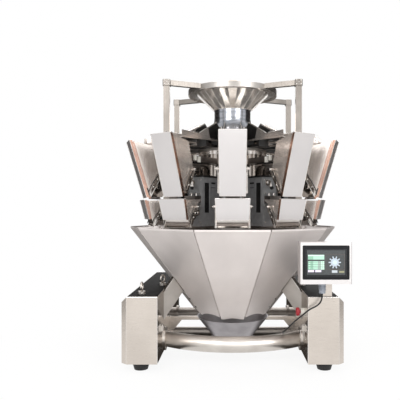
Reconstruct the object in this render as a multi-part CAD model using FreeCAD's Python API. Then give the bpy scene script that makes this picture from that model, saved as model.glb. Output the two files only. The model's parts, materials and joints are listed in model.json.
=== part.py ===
"""Ten-head combination weigher on a two-box base, in millimetres.

The origin is on the floor on the machine's upright axis. +Z is up and the operator stands at -Y.
Heads are numbered from 1 at the front and follow the angle towards +X.
Most head pieces are drawn once in a head frame (r outwards, s sideways, z up) and turned into place.
"""
import FreeCAD, Part
import math
import os

V = FreeCAD.Vector

# ---------------------------------------------------------------- heads
HEADS = 10
PITCH = 360.0 / HEADS
SHEET = 2.0                   # stainless sheet of hoppers, covers and chutes
MOVE_GAP = 5.0                # clear space round a gate

# ---------------------------------------------------------------- base boxes, feet, tubes
BOX_INNER = 338.0             # inner wall of a base box, from the machine's axis
BOX_WIDTH = 165.0
BOX_LENGTH = 920.0
BOX_BOTTOM = 37.0
BOX_HEIGHT = 301.0
BOX_CHAMFER = 26.0
FOOT_TOP_R = 42.0
FOOT_FLOOR_R = 31.0
FOOT_INSET = 62.0             # foot centre from the box's ends

TUBE_R = 38.0
TUBE_Z = 90.0                 # axis of the front and rear tubes
BOW_FRONT = 323.0             # how far forward the bowed tube reaches, on its axis
BOW_END = 199.0               # the same at the box walls
REAR_TUBE_Y = 406.0
LOW_TUBE_R = 25.0
LOW_TUBE_Y = 138.0
LOW_TUBE_Z = 44.0
FLANGE_THICK = 7.0
FLANGE_RIM = 13.0             # flange beyond the tube it carries

# ---------------------------------------------------------------- central body
COLUMN_APOTHEM = 172.0
COLUMN_BOTTOM = 456.0
DRIVE_BOTTOM = 650.0
DRIVE_TOP = 889.0
DRIVE_OUT = 308.0
DRIVE_HALF = 43.0
DRIVE_PLATE = 9.0             # black plate on top of the drive units
DRUM_R = 179.0
DRUM_HEIGHT = 116.0
DRUM_BAND_R = 184.0
DRUM_BAND = 17.0
DECK_R = 181.0
DECK_HEIGHT = 14.0

# ---------------------------------------------------------------- arms
ARM_ANGLE = 54.0              # between two heads
ARM_WIDTH = 22.0
ARM_SHIFT = 15.0              # arm's middle, sideways of the chute seam
ARM_SLOPE = 1.19
ARM_FOOT_TOP = 321.0
ARM_DEPTH = 135.0             # upright depth of the sloping arm
ARM_FOOT_R = BOX_INNER / math.sin(math.radians(ARM_ANGLE))

# ---------------------------------------------------------------- collecting chute and outlet
RIM_R = 549.0                 # chute seam at the rim
RIM_Z = 642.0
CHUTE_R = 193.0               # chute seam at the bottom
CHUTE_Z = 191.0
CHUTE_GAP = 5.0
CHUTE_LIP = 8.0
CHUTE_NOTCH = 12.0            # arched notch in a plate's lower edge
CHUTE_NOTCH_CORNER = 3.0
FRONT_CHUTE = (12.0, 6.0, 18.0)   # the front plate reaches lower; its notch, and the corners beside it
OUTLET_RIM_R = 190.0
OUTLET_RIM_Z = 163.0
OUTLET_NECK_R = 100.0
OUTLET_NECK_Z = 49.0
OUTLET_END_Z = 22.0
BAR_Z = 150.0                 # support bars of the outlet cone
BAR_HEIGHT = 18.0
BAR_DEEP = 14.0
GUSSET_REACH = 66.0
GUSSET_DROP = 54.0

# ---------------------------------------------------------------- feed hoppers (r, z)
FEED = {
    "half": 58.0,
    "top_in": (428.0, 1048.0), "top_out": (532.0, 1070.0),
    "low_out": (455.0, 812.0), "low_in": (393.0, 925.0),
    "pivot": (403.0, 918.0), "roller": (402.0, 846.0), "ear_gap": 9.0,
    "cover_top": (555.0, 1075.0), "cover_low": (470.0, 791.0),
    "cover_half_top": 61.0, "cover_half_low": 58.5, "cover_return": 14.0,
}
WEIGH = {
    "half": 72.0,
    "top_in": (352.0, 779.0), "top_out": (462.0, 776.0),
    "low_out": (440.0, 655.0), "low_in": (386.0, 750.0),
    "pivot": (397.0, 743.0), "roller": (388.0, 688.0), "ear_gap": 7.0,
    "cover_top": (484.0, 779.0), "cover_low": (460.0, 683.0),
    "cover_half_top": 78.0, "cover_half_low": 73.0, "cover_return": 14.0,
}
SHELF_LOW = 962.0             # shelf that carries a feed hopper
SHELF = 28.0
SHELF_HALF = 34.0
WEIGH_BLOCK = 18.0
STAYS = (0.3, 0.75)           # distance pieces of a cover, as shares of the wall's height
STAY_R = 6.0
PIN_R = 4.0
PIN_HEAD_R = 7.0
PIN_FIT = 0.08
EAR_R = 10.0
ROLLER_R = 9.0
ROLLER_LONG = 16.0

# ---------------------------------------------------------------- feeder pans and infeed
PAN_IN = 130.0
PAN_OUT = 466.0
PAN_TONGUE = 18.0             # floor that reaches further in than the sides
PAN_HALF_IN = 36.0
PAN_HALF_OUT = 52.0
PAN_FLOOR_IN = 1080.0
PAN_FLOOR_OUT = 1066.0
PAN_PEAK_R = 191.0
PAN_PEAK_Z = 1171.0
PAN_INNER_Z = 1112.0
PAN_STEP_R = 335.0
PAN_LOW_TOP = 1098.0
VIBRATOR_IN = 128.0
VIBRATOR_OUT = 262.0
VIBRATOR_HALF = 30.0
VIBRATOR_BASE = 14.0
VIBRATOR_LEG = 16.0
DISPERSE_R = 122.0
DISPERSE_RISE = 42.0
DISPERSE_Z = 1092.0

NECK_R = 98.0
NECK_TOP = 1259.0
NECK_LOW = 1229.0
BELL_R = 115.0
BELL_Z = 1160.0
CONE_SIDES = 26
CONE_R = 192.0
CONE_Z = 1344.0
RIM_BAND_R = 237.0
RIM_BAND_LOW = 1338.0
RIM_BAND = 27.0

# ---------------------------------------------------------------- posts
POST_X = 324.0
POST_Y = 232.0
POST = 30.0
POST_LOW = 612.0
POST_TOP = 1343.0
CAP = 38.0
CAP_HEIGHT = 33.0
BAR = 25.0

# ---------------------------------------------------------------- operator panel
PANEL_X = 406.0
PANEL_LOW = 406.0
PANEL_W = 226.0
PANEL_H = 182.0
PANEL_D = 80.0
PANEL_FRONT = -527.0
BEZEL_W = 204.0
BEZEL_H = 149.0
BEZEL_THICK = 4.0
BEZEL_UP = 20.0               # bezel's lower edge above the housing's
PANEL_POST_X = 425.0
PANEL_POST = 45.0
GLAND_X = 395.0
GLAND_Y = -494.0
GLAND_R = 14.0
GLAND_LONG = 44.0
WALL_GLAND_Y = -112.0
WALL_GLAND_R = 11.0
WALL_GLAND_LONG = 20.0
CABLE_R = 3.5
CABLE_ROUTE = [
    (GLAND_X, GLAND_Y, PANEL_LOW - GLAND_LONG), (GLAND_X, GLAND_Y, 331.0), (375.0, -490.0, 306.0),
    (340.0, -484.0, 289.0), (312.0, -462.0, 258.0), (284.0, -415.0, 222.0), (262.0, -350.0, 178.0),
    (250.0, -300.0, 149.0), (247.0, -255.0, 137.0), (250.0, -205.0, 120.0), (258.0, -160.0, 104.0),
    (272.0, -126.0, 93.0), (296.0, WALL_GLAND_Y, TUBE_Z), (BOX_INNER - WALL_GLAND_LONG, WALL_GLAND_Y, TUBE_Z)]

# ---------------------------------------------------------------- emergency stop and small fittings
STOP_Y = -323.0
STOP_Z = 247.0
STOP_BASE_R = 17.0
STOP_BASE = 16.0
STOP_HEAD_R = 20.0
STOP_HEAD = 16.0
STOP_STEM_R = 8.0
STOP_TRAVEL = 4.0
EYES = [(-423.0, -369.0, 90.0), (-362.0, -100.0, 65.0), (362.0, -100.0, -65.0)]
EYE_RING_R = 18.0
EYE_WIRE_R = 5.0
EYE_COLLAR_R = 17.0
EYE_COLLAR = 14.0
CLAMP_Y = -325.0
CLAMP_Z = 170.0
CLAMP = 24.0

# ---------------------------------------------------------------- derived places
BOX_TOP = BOX_BOTTOM + BOX_HEIGHT
BOX_FRONT = -BOX_LENGTH / 2
BOX_OUTER = BOX_INNER + BOX_WIDTH
DRIVE_PLATE_TOP = DRIVE_TOP + DRIVE_PLATE
DRUM_TOP = DRIVE_PLATE_TOP + DRUM_HEIGHT
BAND_TOP = DRUM_TOP + DRUM_BAND
DECK_TOP = BAND_TOP + DECK_HEIGHT
HALF_PITCH = math.radians(PITCH / 2)
PANEL_BACK = PANEL_FRONT + PANEL_D


def save(name, shapes):
    """Write one node; several like pieces go in as a compound."""
    solids = [solid for shape in shapes for solid in shape.Solids]
    shape = solids[0] if len(solids) == 1 else Part.makeCompound(solids)
    shape.exportStep(os.path.join("parts", name + ".step"))


def box(x0, x1, y0, y1, z0, z1):
    return Part.makeBox(x1 - x0, y1 - y0, z1 - z0, V(x0, y0, z0))


def prism(points, direction):
    """Closed polygon of 3-D points pushed along a vector."""
    wire = Part.makePolygon([V(*p) for p in points] + [V(*points[0])])
    return Part.Face(wire).extrude(V(*direction))


def side_plate(points, s0, s1):
    """A (r, z) outline cut from sheet between two sideways places."""
    return prism([(r, s0, z) for r, z in points], (0, s1 - s0, 0))


def cylinder(radius, start, end):
    start, end = V(*start), V(*end)
    return Part.makeCylinder(radius, (end - start).Length, start, end - start)


def revolve(points):
    """(r, z) outline turned round the machine's axis."""
    wire = Part.makePolygon([V(r, 0, z) for r, z in points] + [V(points[0][0], 0, points[0][1])])
    return Part.Face(wire).revolve(V(0, 0, 0), V(0, 0, 1), 360)


def fused(shapes):
    return shapes[0].multiFuse(shapes[1:]).removeSplitter()


def at_angle(shape, degrees):
    """Turn a head-frame shape to its place; 0 degrees faces the operator."""
    placed = shape.copy()
    placed.rotate(V(0, 0, 0), V(0, 0, 1), degrees - 90)
    return placed


def at_heads(shape):
    return [at_angle(shape, PITCH * i) for i in range(HEADS)]


def mirrored(shape):
    return [shape, shape.mirror(V(0, 0, 0), V(1, 0, 0))]


def unit(a, b):
    """Unit vector from one (r, z) point to another."""
    length = math.hypot(b[0] - a[0], b[1] - a[1])
    return ((b[0] - a[0]) / length, (b[1] - a[1]) / length), length


def shifted(p, d, along, n, across):
    return (p[0] + d[0] * along + n[0] * across, p[1] + d[1] * along + n[1] * across)


# ---------------------------------------------------------------- base
def base_box():
    """Right-hand cabinet with its outer upright corners and top outer edge cut off."""
    c = BOX_CHAMFER
    plan = [(BOX_INNER, BOX_FRONT, BOX_BOTTOM), (BOX_OUTER - c, BOX_FRONT, BOX_BOTTOM),
            (BOX_OUTER, BOX_FRONT + c, BOX_BOTTOM), (BOX_OUTER, -BOX_FRONT - c, BOX_BOTTOM),
            (BOX_OUTER - c, -BOX_FRONT, BOX_BOTTOM), (BOX_INNER, -BOX_FRONT, BOX_BOTTOM)]
    body = prism(plan, (0, 0, BOX_HEIGHT))
    edge = prism([(BOX_OUTER - c, BOX_FRONT, BOX_TOP), (BOX_OUTER, BOX_FRONT, BOX_TOP),
                  (BOX_OUTER, BOX_FRONT, BOX_TOP - c)], (0, BOX_LENGTH, 0))
    return body.cut(edge)


def feet():
    x = BOX_INNER + BOX_WIDTH / 2
    made = []
    for y in (BOX_FRONT + FOOT_INSET, -BOX_FRONT - FOOT_INSET):
        foot = Part.makeCone(FOOT_FLOOR_R, FOOT_TOP_R, BOX_BOTTOM)
        foot.translate(V(x, y, 0))
        made += mirrored(foot)
    return made


def bow_tube():
    """Front tube bent forwards on one radius, cut flush at the box walls."""
    sag = BOW_FRONT - BOW_END
    radius = (BOX_INNER ** 2 + sag ** 2) / (2 * sag)
    centre_y = radius - BOW_FRONT
    past = math.degrees(math.asin(BOX_INNER / radius)) + 6
    ring = Part.makeTorus(radius, TUBE_R, V(0, centre_y, TUBE_Z), V(0, 0, 1), -180, 180, 2 * past)
    ring.rotate(V(0, centre_y, TUBE_Z), V(0, 0, 1), -90 - past)
    reach = BOX_INNER - FLANGE_THICK
    bow = ring.common(box(-reach, reach, -2 * radius, 0, TUBE_Z - TUBE_R - 1, TUBE_Z + TUBE_R + 1))
    return fused([bow] + tube_flanges(-BOW_END, TUBE_Z, TUBE_R + FLANGE_THICK))


def tube_flanges(y, z, radius):
    """Round end plates of a tube on both box walls."""
    return mirrored(cylinder(radius + FLANGE_RIM, (BOX_INNER - FLANGE_THICK, y, z), (BOX_INNER, y, z)))


def cross_tube(y, z, radius):
    reach = BOX_INNER - FLANGE_THICK
    return fused([cylinder(radius, (-reach, y, z), (reach, y, z))] + tube_flanges(y, z, radius))


def cross_tubes():
    return [cross_tube(REAR_TUBE_Y, TUBE_Z, TUBE_R), cross_tube(LOW_TUBE_Y, LOW_TUBE_Z, LOW_TUBE_R)]


# ---------------------------------------------------------------- central body
def decagon(apothem, z0, z1):
    corner = apothem / math.cos(HALF_PITCH)
    points = []
    for i in range(HEADS):
        angle = math.radians(PITCH * (i + 0.5) - 90)
        points.append((corner * math.cos(angle), corner * math.sin(angle), z0))
    return prism(points, (0, 0, z1 - z0))


def drive_unit():
    return box(COLUMN_APOTHEM, DRIVE_OUT, -DRIVE_HALF, DRIVE_HALF, DRIVE_BOTTOM, DRIVE_TOP)


def drive_plate():
    """Black plate over the drive units: a lid on every unit round a middle disc."""
    lid = box(COLUMN_APOTHEM - 6, DRIVE_OUT + 4, -DRIVE_HALF - 3, DRIVE_HALF + 3, DRIVE_TOP, DRIVE_PLATE_TOP)
    middle = decagon(COLUMN_APOTHEM, DRIVE_TOP, DRIVE_PLATE_TOP)
    return fused([middle] + at_heads(lid))


def support_arm():
    """Flat sloping beam between two heads, from a box wall up to the column."""
    inner = COLUMN_APOTHEM / math.cos(HALF_PITCH) - 6
    outer = ARM_FOOT_R + 3 * ARM_WIDTH
    top = [(r, ARM_FOOT_TOP + ARM_SLOPE * (ARM_FOOT_R - r)) for r in (inner, outer)]
    outline = [top[0], top[1], (top[1][0], top[1][1] - ARM_DEPTH), (top[0][0], top[0][1] - ARM_DEPTH)]
    beam = side_plate(outline, -ARM_SHIFT - ARM_WIDTH / 2, -ARM_SHIFT + ARM_WIDTH / 2)
    return beam


def support_arms():
    """Front and rear arms; each stands on the side-chute side of its seam."""
    beam = support_arm()
    column = decagon(COLUMN_APOTHEM, 0, DRIVE_TOP)
    walls = box(-BOX_INNER, BOX_INNER, -BOX_LENGTH, BOX_LENGTH, 0, DRIVE_TOP)
    left_front = at_angle(beam, -ARM_ANGLE).common(walls).cut(column)
    flipped = beam.mirror(V(0, 0, 0), V(0, 1, 0))
    left_rear = at_angle(flipped, ARM_ANGLE - 180).common(walls).cut(column)
    return mirrored(left_front) + mirrored(left_rear)


# ---------------------------------------------------------------- collecting chute
def chute_panel(drop=0.0, notch=CHUTE_NOTCH, corner=CHUTE_NOTCH_CORNER):
    """One flat plate of the ten-sided chute: an upright lip at its rim, an arched notch in its lower edge."""
    apothem = [r * math.cos(HALF_PITCH) for r in (RIM_R, CHUTE_R)]
    half = [r * math.sin(HALF_PITCH) - CHUTE_GAP / 2 for r in (RIM_R, CHUTE_R)]
    per_z = (apothem[0] - apothem[1]) / (RIM_Z - CHUTE_Z)
    half_z = (half[0] - half[1]) / (RIM_Z - CHUTE_Z)
    fold_z, low_z = RIM_Z - CHUTE_LIP, CHUTE_Z - drop
    fold_r, low_r = apothem[0], apothem[0] - per_z * (fold_z - low_z)
    fold_h, low_h = half[0], half[0] - half_z * (fold_z - low_z)
    (dr, dz), length = unit((low_r, low_z), (fold_r, fold_z))
    plate = prism([(fold_r, -fold_h, fold_z), (fold_r, fold_h, fold_z), (low_r, low_h, low_z),
                   (low_r, -low_h, low_z)], (-dz * SHEET, 0, dr * SHEET))
    lip = box(fold_r - SHEET, fold_r, -fold_h, fold_h, fold_z, RIM_Z)
    half = low_h - corner
    arch = (half ** 2 + notch ** 2) / (2 * notch)
    centre = low_z + notch - arch
    hole = cylinder(arch, (CHUTE_R / 2, 0, centre), (RIM_R, 0, centre))
    hole = hole.common(box(0, RIM_R, -half, half, 0, low_z + notch))
    return fused([plate, lip]).cut(hole)


def arm_slot():
    """Space for an arm where it passes the chute, with room all round."""
    inner = COLUMN_APOTHEM
    outer = ARM_FOOT_R
    room = MOVE_GAP
    outline = []
    for r, dz in ((inner, room), (outer, room), (outer, -ARM_DEPTH - room), (inner, -ARM_DEPTH - room)):
        outline.append((r, ARM_FOOT_TOP + ARM_SLOPE * (ARM_FOOT_R - r) + dz))
    return side_plate(outline, -ARM_SHIFT - ARM_WIDTH / 2 - room, 0)


def collecting_chute():
    slot = arm_slot()
    flipped = slot.mirror(V(0, 0, 0), V(0, 1, 0))
    front_slot = at_angle(slot, -ARM_ANGLE)
    rear_slot = at_angle(flipped, ARM_ANGLE - 180)
    slots = mirrored(front_slot) + mirrored(rear_slot)
    panels = []
    for i in range(HEADS):
        panel = at_angle(chute_panel(*FRONT_CHUTE) if i == 0 else chute_panel(), PITCH * i)
        for cutter in slots:
            panel = panel.cut(cutter)
        panels.append(panel)
    return panels


def outlet_cone():
    """Round discharge cone with its short outlet ring, one wall thick."""
    return revolve([(OUTLET_RIM_R, OUTLET_RIM_Z), (OUTLET_NECK_R, OUTLET_NECK_Z), (OUTLET_NECK_R, OUTLET_END_Z),
                    (OUTLET_NECK_R - SHEET, OUTLET_END_Z), (OUTLET_NECK_R - SHEET, OUTLET_NECK_Z + SHEET / 2),
                    (OUTLET_RIM_R - SHEET - 1, OUTLET_RIM_Z)])


def outlet_supports():
    """Bars that carry the outlet cone, each on a folded gusset at the box wall."""
    bar = box(OUTLET_RIM_R - 30, BOX_INNER, -BAR_DEEP / 2, BAR_DEEP / 2, BAR_Z - BAR_HEIGHT / 2, BAR_Z + BAR_HEIGHT / 2)
    low = BAR_Z - BAR_HEIGHT / 2
    gusset = prism([(BOX_INNER, -BAR_DEEP / 2, low), (BOX_INNER - GUSSET_REACH, -BAR_DEEP / 2, low),
                    (BOX_INNER - GUSSET_REACH / 3, -BAR_DEEP / 2, low - GUSSET_DROP),
                    (BOX_INNER, -BAR_DEEP / 2, low - GUSSET_DROP)], (0, BAR_DEEP, 0))
    inside = Part.makeCone(OUTLET_NECK_R, OUTLET_RIM_R, OUTLET_RIM_Z - OUTLET_NECK_Z, V(0, 0, OUTLET_NECK_Z))
    return mirrored(fused([bar, gusset]).cut(inside))


# ---------------------------------------------------------------- hoppers, covers and gates
def hopper_sides(h):
    """Two side plates with the studs that the gate hangs on."""
    outline = [h["top_in"], h["top_out"], h["low_out"], h["low_in"]]
    made = []
    for sign in (-1, 1):
        outer = sign * h["half"]
        plate = side_plate(outline, outer - sign * SHEET, outer)
        r, z = h["pivot"]
        ear_out = sign * (h["half"] + h["ear_gap"] + SHEET)
        stud = cylinder(PIN_R, (r, outer - sign, z), (r, ear_out + sign * 2, z))
        head = cylinder(PIN_HEAD_R, (r, ear_out + sign * 1.0, z), (r, ear_out + sign * 6, z))
        made.append(fused([plate, stud, head]))
    return made


def hopper_walls(h):
    """Inner and outer wall between the side plates."""
    inside = h["half"] - SHEET
    made = []
    for high, low, inward in ((h["top_in"], h["low_in"], 1), (h["top_out"], h["low_out"], -1)):
        (dr, dz), length = unit(low, high)
        across = (dz * SHEET * inward, 0, -dr * SHEET * inward)
        made.append(prism([(high[0], -inside, high[1]), (high[0], inside, high[1]),
                           (low[0], inside, low[1]), (low[0], -inside, low[1])], across))
    return made


def cover(h):
    """Flat outer cover with side returns, held off the hopper by two distance pieces."""
    top, low = h["cover_top"], h["cover_low"]
    (dr, dz), length = unit(low, top)
    inward = (-dz, dr)
    wide, narrow = h["cover_half_top"], h["cover_half_low"]
    face = prism([(top[0], -wide, top[1]), (top[0], wide, top[1]), (low[0], narrow, low[1]),
                  (low[0], -narrow, low[1])], (inward[0] * SHEET, 0, inward[1] * SHEET))
    depth = h["cover_return"]
    returns = []
    for sign in (-1, 1):
        edge = [(top[0], sign * wide, top[1]), (low[0], sign * narrow, low[1])]
        back = [(low[0] + inward[0] * depth, sign * narrow, low[1] + inward[1] * depth),
                (top[0] + inward[0] * depth, sign * wide, top[1] + inward[1] * depth)]
        returns.append(prism(edge + back, (0, -sign * SHEET, 0)))
    foot_line, wall_top = h["low_out"], h["top_out"]
    inside = side_plate([foot_line, wall_top, (wall_top[0] - h["half"], wall_top[1]),
                         (foot_line[0] - h["half"], foot_line[1])], -depth, depth)
    stays = []
    for share in STAYS:
        foot = [a + (b - a) * share for a, b in zip(foot_line, wall_top)]
        gap = (top[0] - foot[0]) * dz - (top[1] - foot[1]) * dr - SHEET / 2
        start = shifted(foot, inward, depth / 2, inward, 0)
        end = shifted(foot, inward, -gap, inward, 0)
        stays.append(cylinder(STAY_R, (start[0], 0, start[1]), (end[0], 0, end[1])).cut(inside))
    return fused([face] + returns + stays)


def gate(h):
    """Sloping flap under the hopper with an ear at each side and a roller on its back."""
    (dr, dz), length = unit(h["low_in"], h["low_out"])
    down, inward = (dr, dz), (dz, -dr)
    near, far = MOVE_GAP + SHEET, MOVE_GAP + 2 * SHEET
    half = h["half"] + h["ear_gap"] + SHEET
    start, end = 14.0, length + 6.0
    corners = [shifted(h["low_in"], down, a, inward, b) for a, b in ((start, near), (end, near), (end, far), (start, far))]
    flap = side_plate(corners, -half, half)
    r, z = h["pivot"]
    pieces = [flap]
    for sign in (-1, 1):
        inner = sign * (half - SHEET)
        outline = [shifted(h["low_in"], down, a, inward, b)
                   for a, b in ((start, far), (end, far), (end, near - 6), (start + 20, -14), (start - 6, -12))]
        ear = side_plate(outline, inner, inner + sign * SHEET)
        eye = cylinder(EAR_R, (r, inner, z), (r, inner + sign * SHEET, z))
        hole = cylinder(PIN_R + PIN_FIT, (r, inner - sign, z), (r, inner + sign * (SHEET + 1), z))
        pieces.append(ear.fuse(eye).cut(hole))
    roller = cylinder(ROLLER_R, (h["roller"][0], -ROLLER_LONG / 2, h["roller"][1]),
                      (h["roller"][0], ROLLER_LONG / 2, h["roller"][1]))
    (fr, fz), reach = unit(h["low_in"], h["roller"])
    along = (h["roller"][0] - h["low_in"][0]) * dr + (h["roller"][1] - h["low_in"][1]) * dz
    tab = side_plate([shifted(h["low_in"], down, along - 16, inward, far - 0.5),
                      shifted(h["low_in"], down, along + 16, inward, far - 0.5), h["roller"]], -2, 2)
    return fused(pieces + [tab, roller])


def feed_hanger():
    """Shelf from the drum to a feed hopper's inner wall, which it meets at the wall's own slope."""
    (low_r, low_z), (top_r, top_z) = FEED["low_in"], FEED["top_in"]
    wall = [(low_r + (top_r - low_r) * (z - low_z) / (top_z - low_z), z) for z in (SHELF_LOW, SHELF_LOW + SHELF)]
    shelf = side_plate([(DRUM_R / 2, SHELF_LOW)] + wall + [(DRUM_R / 2, SHELF_LOW + SHELF)], -SHELF_HALF, SHELF_HALF)
    return shelf.cut(Part.makeCylinder(DRUM_R, 2 * DRUM_TOP))


def weigh_hanger():
    """Block from a drive unit to the sloping inner wall of a weigh hopper, standing above its edge."""
    low, top = WEIGH["low_in"], WEIGH["top_in"]
    meet = ((low[0] + top[0]) / 2, (low[1] + top[1]) / 2)
    over = top[1] + WEIGH_BLOCK
    return side_plate([(DRIVE_OUT, meet[1]), meet, top, (top[0], over), (DRIVE_OUT, over)], -SHELF_HALF, SHELF_HALF)


# ---------------------------------------------------------------- feeding system
def pan_floor():
    """Flared trough bottom that falls outwards and starts under the spreading table."""
    flare = (PAN_HALF_OUT - PAN_HALF_IN) / (PAN_OUT - PAN_IN)
    half_in = PAN_HALF_IN - flare * PAN_TONGUE - SHEET
    half_out = PAN_HALF_OUT - SHEET
    start = PAN_IN - PAN_TONGUE
    top = [(start, -half_in, PAN_FLOOR_IN), (start, half_in, PAN_FLOOR_IN),
           (PAN_OUT, half_out, PAN_FLOOR_OUT), (PAN_OUT, -half_out, PAN_FLOOR_OUT)]
    return prism(top, (0, 0, -SHEET))


def pan_sides():
    """Side plates: tall and peaked next to the middle, low over the hoppers."""
    outline = [(PAN_IN, PAN_FLOOR_IN - SHEET), (PAN_IN, PAN_INNER_Z), (PAN_PEAK_R, PAN_PEAK_Z),
               (PAN_STEP_R - 24, PAN_LOW_TOP + 14), (PAN_STEP_R, PAN_LOW_TOP), (PAN_OUT, PAN_LOW_TOP),
               (PAN_OUT, PAN_FLOOR_OUT - SHEET)]
    blank = side_plate(outline, -PAN_HALF_OUT - 1, PAN_HALF_OUT + 1)
    made = []
    for sign in (-1, 1):
        strip = prism([(PAN_IN, sign * PAN_HALF_IN, 0), (PAN_OUT, sign * PAN_HALF_OUT, 0),
                       (PAN_OUT, sign * (PAN_HALF_OUT - SHEET), 0), (PAN_IN, sign * (PAN_HALF_IN - SHEET), 0)],
                      (0, 0, PAN_PEAK_Z + 50))
        made.append(blank.common(strip))
    return made


def vibrator():
    """Low base with two upright leaf-spring legs under the pan."""
    base = box(VIBRATOR_IN, VIBRATOR_OUT, -VIBRATOR_HALF, VIBRATOR_HALF, DECK_TOP, DECK_TOP + VIBRATOR_BASE)
    fall = (PAN_FLOOR_IN - PAN_FLOOR_OUT) / (PAN_OUT - PAN_IN + PAN_TONGUE)
    legs = []
    for r0, r1 in ((VIBRATOR_IN, VIBRATOR_IN + VIBRATOR_LEG), (VIBRATOR_OUT - VIBRATOR_LEG, VIBRATOR_OUT)):
        top = [(r, PAN_FLOOR_IN - SHEET - fall * (r - PAN_IN + PAN_TONGUE)) for r in (r1, r0)]
        legs.append(side_plate([(r0, DECK_TOP), (r1, DECK_TOP)] + top, -VIBRATOR_HALF, VIBRATOR_HALF))
    return fused([base] + legs)


def dispersion_cone():
    """Pointed spreading table on its drive post."""
    return revolve([(0, DECK_TOP), (40, DECK_TOP), (40, DISPERSE_Z), (DISPERSE_R, DISPERSE_Z),
                    (DISPERSE_R, DISPERSE_Z + SHEET), (0, DISPERSE_Z + DISPERSE_RISE)])


def ring_of_flats(sides, radius, z):
    points = []
    for i in range(sides + 1):
        angle = 2 * math.pi * (i + 0.5) / sides
        points.append(V(radius * math.sin(angle), -radius * math.cos(angle), z))
    return Part.makePolygon(points)


def infeed_cone():
    """Bump-formed cone of narrow flats with a flanged rim."""
    outer = Part.makeLoft([ring_of_flats(CONE_SIDES, NECK_R + SHEET, NECK_TOP),
                           ring_of_flats(CONE_SIDES, CONE_R, CONE_Z)], True, True)
    inner = Part.makeLoft([ring_of_flats(CONE_SIDES, NECK_R, NECK_TOP - 0.01),
                           ring_of_flats(CONE_SIDES, CONE_R - SHEET, CONE_Z + 0.01)], True, True)
    top = RIM_BAND_LOW + RIM_BAND
    rim = revolve([(CONE_R - 6, CONE_Z - SHEET), (RIM_BAND_R - SHEET, CONE_Z - SHEET + 2),
                   (RIM_BAND_R - SHEET, RIM_BAND_LOW), (RIM_BAND_R, RIM_BAND_LOW), (RIM_BAND_R, top),
                   (RIM_BAND_R - SHEET, top), (RIM_BAND_R - SHEET, CONE_Z + 2), (CONE_R - 6, CONE_Z)])
    return fused([outer, rim]).cut(inner)


def infeed_neck():
    """Neck whose skirt flares on an arc tangent to it, over the spreading table."""
    drop, spread = NECK_LOW - BELL_Z, BELL_R - NECK_R
    radius = (drop ** 2 + spread ** 2) / (2 * spread)
    half_turn = math.asin(drop / radius) / 2
    edges = []
    for r, arc in ((NECK_R, radius), (NECK_R - SHEET, radius + SHEET)):
        centre = V(NECK_R + radius, 0, NECK_LOW)
        top, start = V(r, 0, NECK_TOP), V(r, 0, NECK_LOW)
        middle, end = [centre - V(arc * math.cos(a), 0, arc * math.sin(a)) for a in (half_turn, 2 * half_turn)]
        edges.append((top, start, middle, end))
    outline = []
    for top, start, middle, end in edges:
        outline += [Part.LineSegment(top, start).toShape(), Part.Arc(start, middle, end).toShape()]
    outline += [Part.LineSegment(edges[0][i], edges[1][i]).toShape() for i in (0, 3)]
    wire = Part.Wire(Part.__sortEdges__(outline))
    return Part.Face(wire).revolve(V(0, 0, 0), V(0, 0, 1), 360)


# ---------------------------------------------------------------- posts
def post(x, y):
    h = POST / 2
    return box(x - h, x + h, y - h, y + h, POST_LOW, POST_TOP)


def post_cap(x, y):
    h = CAP / 2
    cap = box(x - h, x + h, y - h, y + h, POST_TOP - 4, POST_TOP - 4 + CAP_HEIGHT)
    edges = [e for e in cap.Edges if e.CenterOfMass.z > POST_TOP]
    return cap.makeFillet(6, edges).cut(post(x, y))


def post_arm(x, y):
    """Square tube from a post cap to the infeed rim."""
    inner = RIM_BAND_R / math.sqrt(2)
    end = V(math.copysign(inner - 6, x), math.copysign(inner - 6, y), 0)
    start = V(x, y, 0)
    along = (end - start).normalize()
    across = V(-along.y, along.x, 0) * (BAR / 2)
    plan = [start + across, end + across, end - across, start - across]
    low = POST_TOP
    tube = prism([(p.x, p.y, low) for p in plan], (0, 0, BAR))
    rim = Part.makeCylinder(RIM_BAND_R, BAR * 2, V(0, 0, low - BAR / 2))
    h = CAP / 2
    cap = box(x - h, x + h, y - h, y + h, POST_TOP - 4, POST_TOP - 4 + CAP_HEIGHT)
    return tube.cut(rim).cut(cap)


def post_bracket(x, y):
    """Radial tube that carries a post from the column, below the drive units."""
    start = V(x, y, 0)
    along = (start * -1).normalize()
    across = V(-along.y, along.x, 0) * (POST / 2)
    near, far = start, V(0, 0, 0)
    plan = [near + across, far + across, far - across, near - across]
    tube = prism([(p.x, p.y, POST_LOW) for p in plan], (0, 0, POST))
    return tube.cut(decagon(COLUMN_APOTHEM, 0, DRIVE_TOP))


def at_posts(maker):
    return [maker(sx * POST_X, sy * POST_Y) for sx in (-1, 1) for sy in (-1, 1)]


# ---------------------------------------------------------------- operator panel
def panel_housing():
    x = PANEL_W / 2
    shell = box(PANEL_X - x, PANEL_X + x, PANEL_FRONT, PANEL_BACK, PANEL_LOW, PANEL_LOW + PANEL_H)
    edges = [e for e in shell.Edges if abs(e.CenterOfMass.x - PANEL_X) > x - 1 and e.Length > PANEL_H - 2]
    shell = shell.makeFillet(5, edges)
    recess = bezel_plate(0.0)
    return shell.cut(recess)


def bezel_plate(proud):
    x = BEZEL_W / 2
    low = PANEL_LOW + BEZEL_UP
    plate = box(PANEL_X - x, PANEL_X + x, PANEL_FRONT - proud, PANEL_FRONT + BEZEL_THICK, low, low + BEZEL_H)
    edges = [e for e in plate.Edges if abs(e.tangentAt(e.FirstParameter).y) > 0.9]
    return plate.makeFillet(5, edges)


def panel_post():
    half = PANEL_POST / 2
    return box(PANEL_POST_X - half, PANEL_POST_X + half, PANEL_BACK, PANEL_BACK + PANEL_POST, BOX_TOP, PANEL_LOW + 80)


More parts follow.
